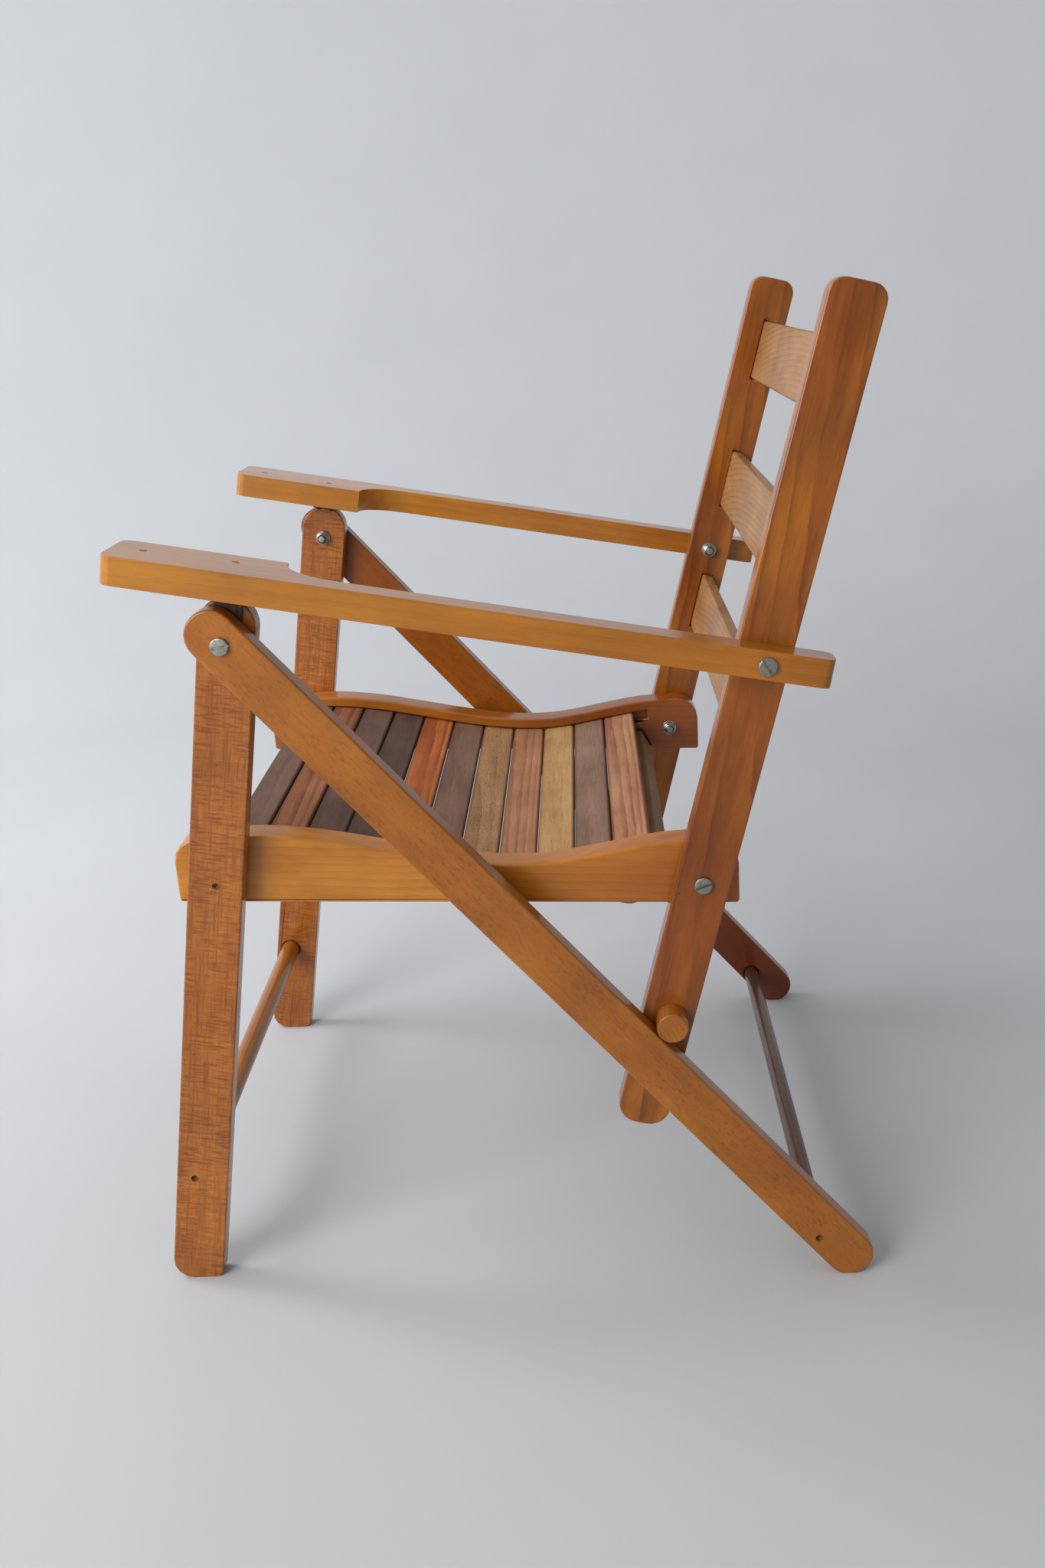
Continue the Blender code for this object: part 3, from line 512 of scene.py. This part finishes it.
def lock_nut(node, finish, ring_finish):
    """A hexagonal nut with a round collar, which holds a dark nylon ring."""
    low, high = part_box(node)
    side = 1 if middle(node).x > 0 else -1
    height, half, bore = high.x - low.x, NUT_FLATS / 2, BOLT_BORE
    corner = half / math.cos(math.pi / 6)
    hexagon = prism(corner, height * 2, 6)
    hexagon.transform(Matrix.Rotation(0.35, 4, "Z"))
    base = height * 0.60
    collar = half - 0.0004
    ring = [
        (bore, 0.0), (half - 0.0003, 0.0), (corner, 0.0006), (corner, base - 0.0008),
        (collar, base), (collar, height - 0.0012), (collar - 0.0003, height - 0.0004),
        (collar - 0.0011, height), (collar - 0.0015, height - 0.0004), (collar - 0.0015, height - 0.0012),
        (bore, height - 0.0012), (bore, 0.0),
    ]
    shape = combined(turned_mesh(ring), hexagon, "INTERSECT")
    inward = outward(-side, side * max(abs(low.x), abs(high.x)), middle(node).yz)
    shape.transform(inward)
    metal_piece(node, shape, finish)
    insert = turned_mesh([
        (bore, height - 0.0012), (bore, height - 0.0003), (bore + 0.0004, height - 0.0001),
        (collar - 0.0016, height - 0.0004), (collar - 0.0016, height - 0.0012), (bore, height - 0.0012),
    ])
    insert.transform(inward)
    metal_piece(node, insert, ring_finish, 40, "insert", False)


def flat_washer(node, finish):
    low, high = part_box(node)
    radius, bore = (high.z - low.z) / 2, BOLT_BORE
    half, edge = (high.x - low.x) / 2, 0.0003
    ring = [
        (bore, half), (radius - edge, half), (radius, half - edge), (radius, edge - half),
        (radius - edge, -half), (bore, -half), (bore, half),
    ]
    shape = turned_mesh(ring)
    shape.transform(outward(1, middle(node).x, middle(node).yz))
    metal_piece(node, shape, finish)


def wood_screw(node, finish, frame_at, head, length):
    """A countersunk screw with a cross recess, its head's top at frame_at."""
    shank, neck, steps = SCREW_SHANK, -0.005, 6
    profile = [(0, 0), (head * 0.7, 0), (head, -0.0002), (head, -0.0005), (shank, -0.0026), (shank, neck)]
    for i in range(steps):
        top = neck - (length - 0.009) * i / steps
        profile += [(shank, top - 0.0008), (shank * 0.72, top - 0.0016)]
    profile += [(shank * 0.6, -length + 0.003), (0, -length)]
    shape = turned_mesh(profile, 32)
    span = head * 1.25
    for size in ((span, RECESS_WIDTH), (RECESS_WIDTH, span)):
        arm = cube((*size, 2 * RECESS_DEPTH), Matrix.Rotation(0.5, 4, "Z"))
        shape = combined(shape, arm, "DIFFERENCE")
    shape.transform(frame_at)
    metal_piece(node, shape, finish)


def bracket(node, finish, second_tone):
    """The bent strap under an arm; the plate against the arm is pale bright steel, a painted highlight."""
    shape = clean_copy(node)
    top = max(vert.co.dot(ARM_UP) for vert in shape.verts)
    round_edges(shape, 0.0004, 2, 50, 130, [(tuple(middle(node).yz), 0.0)])
    # The top plate takes the second finish: a painted highlight.
    for face in shape.faces:
        face.material_index = 1 if face.calc_center_median().dot(ARM_UP) > top - 0.0022 else 0
    weigh_normals(metal_piece(node, shape, (finish, second_tone), 38))


# ---------------------------------------------------------------- finishes
# Each timber's colour between its lines, its second tone and the colour of its lines.
honey = dict(light=(0.441, 0.147, 0.011), mid=(0.363, 0.108, 0.006), dark=(0.176, 0.042, 0.002))
golden = dict(light=(0.534, 0.207, 0.009), mid=(0.442, 0.152, 0.006), dark=(0.248, 0.069, 0.002))
rail_gold = dict(light=(0.627, 0.248, 0.020), mid=(0.517, 0.182, 0.012), dark=(0.275, 0.079, 0.005))
russet = dict(light=(0.500, 0.165, 0.018), mid=(0.400, 0.115, 0.010), dark=(0.160, 0.034, 0.003))
orange = dict(light=(0.450, 0.140, 0.007), mid=(0.300, 0.072, 0.003), dark=(0.115, 0.022, 0.001))
# A darker copy of the near rail's colours for the far rail: painted shade.
rail_painted_shade = dict(light=(0.480, 0.160, 0.017), mid=(0.370, 0.108, 0.010), dark=(0.170, 0.040, 0.004))
# A darker, redder copy of the rear legs' colours for the far rear leg: painted shade.
rear_leg_painted_shade = dict(light=(0.388, 0.112, 0.006), mid=(0.301, 0.078, 0.004), dark=(0.136, 0.027, 0.001))
pale = dict(light=(0.430, 0.215, 0.075), mid=(0.360, 0.160, 0.048), dark=(0.200, 0.072, 0.018))

zinc = metal("zinc_plate", 1, (0.34, 0.33, 0.30), (0.22, 0.21, 0.18), 0.42, 1.0, 0.2)
bright = metal("bright_steel", 2, (0.47, 0.47, 0.45), (0.30, 0.29, 0.27), 0.27)
dark_steel = metal("dark_steel", 3, (0.050, 0.038, 0.030), (0.085, 0.066, 0.050), 0.42, 0.85)
# Pale steel for the bracket's top plate: a painted highlight.
steel_painted_highlight = metal("steel_painted_highlight", 5, (0.42, 0.39, 0.35), (0.22, 0.19, 0.16), 0.42)
old_screw = metal("old_screw", 4, (0.27, 0.150, 0.070), (0.14, 0.070, 0.030), 0.55, 0.35)
# Near black for the inside of the bolts' slots: painted shade.
slot_shade_finish = metal("slot_painted_shade", 6, (0.012, 0.010, 0.008), (0.028, 0.024, 0.020), 0.70, 0.0)


def nylon():
    g = Graph("nylon_ring")
    cloud = g.noise(g.coords(), 900, 3)
    tone = g.mix(g.ramp(cloud, (0.4, 0.0), (0.6, 1.0)), (0.020, 0.021, 0.022), (0.040, 0.041, 0.042))
    return g.set(Base_Color=tone, Roughness=0.45)


ring_finish = nylon()

# ---------------------------------------------------------------- the chair
FRONT_LEG = dict(
    **russet, ring=0.013, pith=(0.10, 0.02), slope=(0.012, 0.006), contrast=0.18, rays=0.60, pores=0.35,
    fibre=0.18, blotch=0.28,
)
REAR_LEG = dict(
    **honey, ring=0.018, pith=(0.12, 0.05), contrast=0.12, flecks=0.30, fleck_size=460, fibre=0.12,
    pores=0.30, blotch=0.28,
)
# The far rear leg: that darker copy, and darker still along its length, all painted shade.
FAR_REAR_LEG = {**REAR_LEG, **rear_leg_painted_shade, "painted_falloff": (0.12, -0.30, (0.50, 0.32, 0.35))}
STILE = dict(
    **orange, ring=0.0085, pith=(0.040, 0.085), slope=(0.050, 0.025), wave=0.018, contrast=0.62,
    fibre=0.20, blotch=0.30, line=0.78, streak=0.22,
)
RAIL = dict(ring=0.0062, pith=(0.080, 0.035), slope=(0.022, 0.030), wave=0.012, contrast=0.38, fibre=0.10)
ARM = dict(
    **golden, ring=0.0080, pith=(0.060, 0.035), contrast=0.30, fibre=0.12, rough=0.36, coat=1.0,
    blotch=0.22,
)
BACK_SLAT = dict(
    **pale, ring=0.0052, pith=(0.200, 0.050), slope=(0.35, 0.05), contrast=0.62, fibre=0.16, rough=0.5,
    coat=0.30,
)
for index, (tag, side) in enumerate(SIDES):
    board(f"front_leg_{tag}", 3 + index, FRONT_LEG, 0.0018)
    board(f"rear_leg_{tag}", 9 + index, REAR_LEG if side > 0 else FAR_REAR_LEG, 0.0020)
    board(f"back_stile_{tag}", 15 + index, STILE, 0.0020)
    # The far rail takes the darker copy of the rail's colours: painted shade.
    rail = rail_gold if side > 0 else rail_painted_shade
    # Rails and arms darken along their length: painted shade.
    rail_look = dict(RAIL, **rail, painted_falloff=(-0.06, 0.24, (0.72, 0.55, 0.45)))
    board(f"seat_rail_{tag}", 21 + index, rail_look, 0.0022)
    board(f"armrest_{tag}", 27 + index, dict(ARM, painted_falloff=(-0.10, 0.30, (0.80, 0.66, 0.55))))
for index in (1, 2, 3):
    board(f"back_slat_{index}", 33 + index, BACK_SLAT)

# Seat slats, front to rear: light, mid and dark tones, how strongly the growth rings show, their spacing
# and the flecks.
SLATS = (
    ((0.212, 0.121, 0.090), (0.160, 0.091, 0.067), (0.078, 0.039, 0.028), 0.35, 0.0080, 0.15),
    ((0.368, 0.152, 0.074), (0.288, 0.104, 0.047), (0.152, 0.044, 0.018), 0.85, 0.0033, 0.10),
    ((0.192, 0.113, 0.087), (0.144, 0.082, 0.064), (0.067, 0.034, 0.025), 0.30, 0.0090, 0.15),
    ((0.157, 0.094, 0.073), (0.118, 0.070, 0.055), (0.056, 0.029, 0.022), 0.30, 0.0080, 0.15),
    ((0.680, 0.225, 0.068), (0.540, 0.152, 0.044), (0.290, 0.064, 0.017), 0.85, 0.0033, 0.10),
    ((0.304, 0.176, 0.122), (0.231, 0.130, 0.090), (0.110, 0.057, 0.038), 0.30, 0.0080, 0.15),
    ((0.570, 0.322, 0.153), (0.442, 0.230, 0.103), (0.212, 0.092, 0.039), 0.40, 0.0050, 0.60),
    ((0.612, 0.315, 0.171), (0.495, 0.221, 0.109), (0.279, 0.095, 0.043), 0.60, 0.0033, 0.10),
    ((0.651, 0.405, 0.171), (0.546, 0.299, 0.115), (0.343, 0.163, 0.057), 0.35, 0.0070, 0.30),
    ((0.356, 0.214, 0.145), (0.275, 0.159, 0.107), (0.138, 0.071, 0.048), 0.30, 0.0080, 0.15),
    ((0.570, 0.290, 0.162), (0.456, 0.198, 0.103), (0.247, 0.085, 0.039), 0.85, 0.0033, 0.10),
    ((0.351, 0.195, 0.084), (0.267, 0.138, 0.056), (0.135, 0.065, 0.026), 0.40, 0.0070, 0.20),
)
# Every slat but the last is darkened along its long edges: painted shade in the gaps between them.
for index, (light, mid, dark, strength, ring, flecks) in enumerate(SLATS):
    board(f"seat_slat_{index + 1:02d}", 41 + index, dict(
        light=light, mid=mid, dark=dark, ring=ring, wave=0.005, pith=(0.012 + 0.004 * (index % 4), 0.050),
        slope=(0.010, 0.014), contrast=strength, fibre=0.22, flecks=flecks, fleck_size=700, rough=0.55,
        coat=0.0, bump=0.5, line=0.62, edge=(0.0138, 0.0168) if index < 11 else None,
    ))

rod("front_stretcher", 61, dict(honey, ring=0.006, contrast=0.3), 0.0010, 0.01)
rod("rear_stretcher", 62, dict(
    light=(0.15, 0.066, 0.034), mid=(0.10, 0.042, 0.022), dark=(0.045, 0.018, 0.010), ring=0.007,
    contrast=0.35, flecks=0.3, rough=0.5,
), 0.0010, 0.02)
for index, (tag, side) in enumerate(SIDES):
    rod(f"stop_peg_{tag}", 64 + index, dict(honey, ring=0.0045, contrast=0.5), 0.0016)
    bracket(f"arm_bracket_{tag}", dark_steel, steel_painted_highlight)
    for joint in ("leg_pivot", "arm_pivot", "seat_pivot"):
        bolt(f"{joint}_{tag}_bolt", zinc)
        lock_nut(f"{joint}_{tag}_nut", bright, ring_finish)
        flat_washer(f"{joint}_{tag}_washer", bright)
    for name in ("seat_pivot_pin", "front_stretcher_screw", "rear_stretcher_screw"):
        node = f"{name}_{tag}"
        low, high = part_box(node)
        place = outward(side, high.x if side > 0 else low.x, middle(node).yz)
        wood_screw(node, old_screw, place, (high.z - low.z) / 2, high.x - low.x)
    for number in (1, 2):
        node = f"bracket_screw_{number}_{tag}"
        place = grain_frame(middle(node) - ARM_UP * 0.0084, -ARM_UP, (1, 0, 0))
        wood_screw(node, dark_steel, place, 0.0033, 0.0165)


def plug(name, frame_at, radius, proud, node, finish):
    """A filled or sunk fixing that shows as a small disc, its face at frame_at and its axis along Z."""
    edge = min(0.0003, radius / 4)
    shape = turned_mesh([
        (0, proud), (radius - edge, proud), (radius, proud - edge), (radius, -0.0008), (0, -0.0008),
    ], 24)
    shape.transform(frame_at)
    mesh = finished_mesh(shape, name, 40)
    return object_from(name, mesh, finish, BODY_OF[node], [], node)


def glue_bead(name, points, seed, node, finish):
    """A thin, uneven line of squeezed-out glue through these points."""
    shape = bmesh.new()
    rings = []
    sides, width = 8, 0.0008
    for i, point in enumerate(points):
        before, after = points[max(i - 1, 0)], points[min(i + 1, len(points) - 1)]
        turn = (Vector(after) - Vector(before)).to_track_quat("Z", "Y").to_matrix()
        end = min(i, len(points) - 1 - i)
        swell = 1 + 0.45 * math.sin(seed + i * 1.9) * math.cos(seed * 2 + i * 0.7)
        thick = width * swell * min(1, 0.35 + end * 0.4)
        angles = [2 * math.pi * j / sides for j in range(sides)]
        rings.append([
            shape.verts.new(Vector(point) + turn @ Vector((thick * math.cos(a), thick * math.sin(a), 0)))
            for a in angles
        ])
    for first, second in zip(rings, rings[1:]):
        for j in range(sides):
            shape.faces.new((first[j], first[(j + 1) % sides], second[(j + 1) % sides], second[j]))
    shape.faces.new(rings[0])
    shape.faces.new(rings[-1])
    bmesh.ops.recalc_face_normals(shape, faces=shape.faces)
    mesh = finished_mesh(shape, name, 70)
    return object_from(name, mesh, finish, BODY_OF[node], [], node)


def details():
    """The small marks that the CAD leaves out: filled plugs, nail heads and squeezed-out glue."""
    filler = metal("wood_filler", 7, (0.30, 0.120, 0.025), (0.20, 0.070, 0.014), 0.45, 0.0)
    nail = metal("nail_head", 8, (0.050, 0.028, 0.016), (0.100, 0.055, 0.030), 0.60, 0.2)
    glue = metal("dried_glue", 9, (0.50, 0.250, 0.080), (0.36, 0.150, 0.040), 0.28, 0.0)
    pivot = middle("leg_pivot_left_bolt")
    half_thick, half_wide, steps = 0.0061, 0.0306, 14
    for tag, side in SIDES:
        for number, (x, along) in enumerate(((0.2473, -0.0743), (0.2404, 0.0)), 1):
            spot = Vector((side * x, pivot.y, pivot.z)) + ARM_UP * 0.0620 + ARM_BACK * along
            place = grain_frame(spot, ARM_UP, (1, 0, 0))
            plug(f"arm_plug_{number}_{tag}", place, 0.0036, 0.00012, f"armrest_{tag}", filler)
        low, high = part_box(f"back_stile_{tag}")
        outer, inner = (high.x, low.x) if side > 0 else (low.x, high.x)
        place = outward(side, outer, (0.1625, 0.3830))
        plug(f"stile_nail_{tag}", place, 0.0012, 0.00010, f"back_stile_{tag}", nail)
        for number in (1, 2, 3):
            node = f"back_slat_{number}"
            turn = cross_frame(node).to_3x3()
            centre = Vector((0, *middle(node).yz))
            points = []
            for i in range(steps + 1):
                across = -half_wide + 2 * half_wide * i / steps
                spot = centre + turn.col[1] * (-half_thick - 0.0002) + turn.col[0] * across
                points.append((inner - side * 0.0004, spot.y, spot.z))
            glue_bead(f"{node}_glue_{tag}", points, number * 3 + side, node, glue)
        # The loop ends on the third slat, the one with a nail.
        spot = centre + turn.col[0] * 0.034 + turn.col[1] * 0.004
        plug(f"slat_nail_{tag}", outward(-side, inner, spot.yz), 0.0012, 0.0001, f"back_stile_{tag}", nail)


details()

# ---------------------------------------------------------------- floor, light and camera
BOWL_RADIUS, BOWL_BEND, BOWL_HEIGHT = 3.4, 1.8, 4.6


def backdrop():
    """A pale round sweep: the floor, and a wall that rises from it smoothly on every side."""
    steps = 28
    angles = [math.pi / 2 * i / steps for i in range(steps + 1)]
    line = [(BOWL_RADIUS, BOWL_HEIGHT)]
    line += [
        (BOWL_RADIUS - BOWL_BEND + BOWL_BEND * math.cos(a), BOWL_BEND - BOWL_BEND * math.sin(a))
        for a in angles
    ]
    line += [(0.8, 0), (0, 0)]
    mesh = finished_mesh(turned_mesh(line, 128), "backdrop", 60)
    g = Graph("backdrop_paper")
    cloud = g.noise(g.coords(), 3, 2)
    tone = g.mix(g.ramp(cloud, (0.3, 0.0), (0.7, 1.0)), (0.494, 0.503, 0.524), (0.510, 0.519, 0.540))
    mesh.materials.append(g.set(Base_Color=tone, Roughness=0.75))
    floor = bpy.data.objects.new("backdrop", mesh)
    bpy.context.scene.collection.objects.link(floor)


def area_light(name, place, target, size, power, tint):
    """A square light of this size in metres and power in watts, turned to the target."""
    data = bpy.data.lights.new(name, "AREA")
    data.shape = "SQUARE"
    data.size = size
    data.energy = power
    data.color = tint
    lamp = bpy.data.objects.new(name, data)
    lamp.location = place
    lamp.rotation_euler = (Vector(target) - Vector(place)).to_track_quat("-Z", "Y").to_euler()
    bpy.context.scene.collection.objects.link(lamp)


def lights():
    world = bpy.data.worlds.new("studio")
    world.use_nodes = True
    inputs = world.node_tree.nodes["Background"].inputs
    inputs["Color"].default_value = (0.98, 0.96, 0.93, 1)
    inputs["Strength"].default_value = 0.63
    bpy.context.scene.world = world
    area_light("key", (2.1, -1.7, 1.6), (0, 0, 0.45), 1.7, 68, (1.0, 0.980, 0.945))
    area_light("side", (0.3, -2.3, 1.3), (0.1, 0.2, 0.7), 1.2, 9, (0.98, 0.985, 1.0))
    area_light("left", (-0.4, -1.9, 2.3), (-2.8, -0.9, 1.0), 1.5, 66, (0.95, 0.975, 1.0))


def camera():
    """Looks at the chair's left side from a little above the arms."""
    pitch, yaw, roll = (math.radians(v) for v in (19.168, -3.046, -3.684))
    forward = Vector((-math.cos(yaw) * math.cos(pitch), math.sin(yaw) * math.cos(pitch), -math.sin(pitch)))
    level = Vector((math.sin(yaw), math.cos(yaw), 0))
    upright = level.cross(forward)
    right = level * math.cos(roll) + upright * math.sin(roll)
    up = upright * math.cos(roll) - level * math.sin(roll)
    data = bpy.data.cameras.new("camera")
    data.lens = 33.235
    data.clip_end = 50
    eye = bpy.data.objects.new("camera", data)
    turn = Matrix((right, up, -forward)).transposed().to_4x4()
    eye.matrix_world = Matrix.Translation((1.4112, 0.0950, 0.8914)) @ turn
    bpy.context.scene.collection.objects.link(eye)
    bpy.context.scene.camera = eye


backdrop()
lights()
camera()
bpy.context.scene.view_settings.view_transform = "Standard"
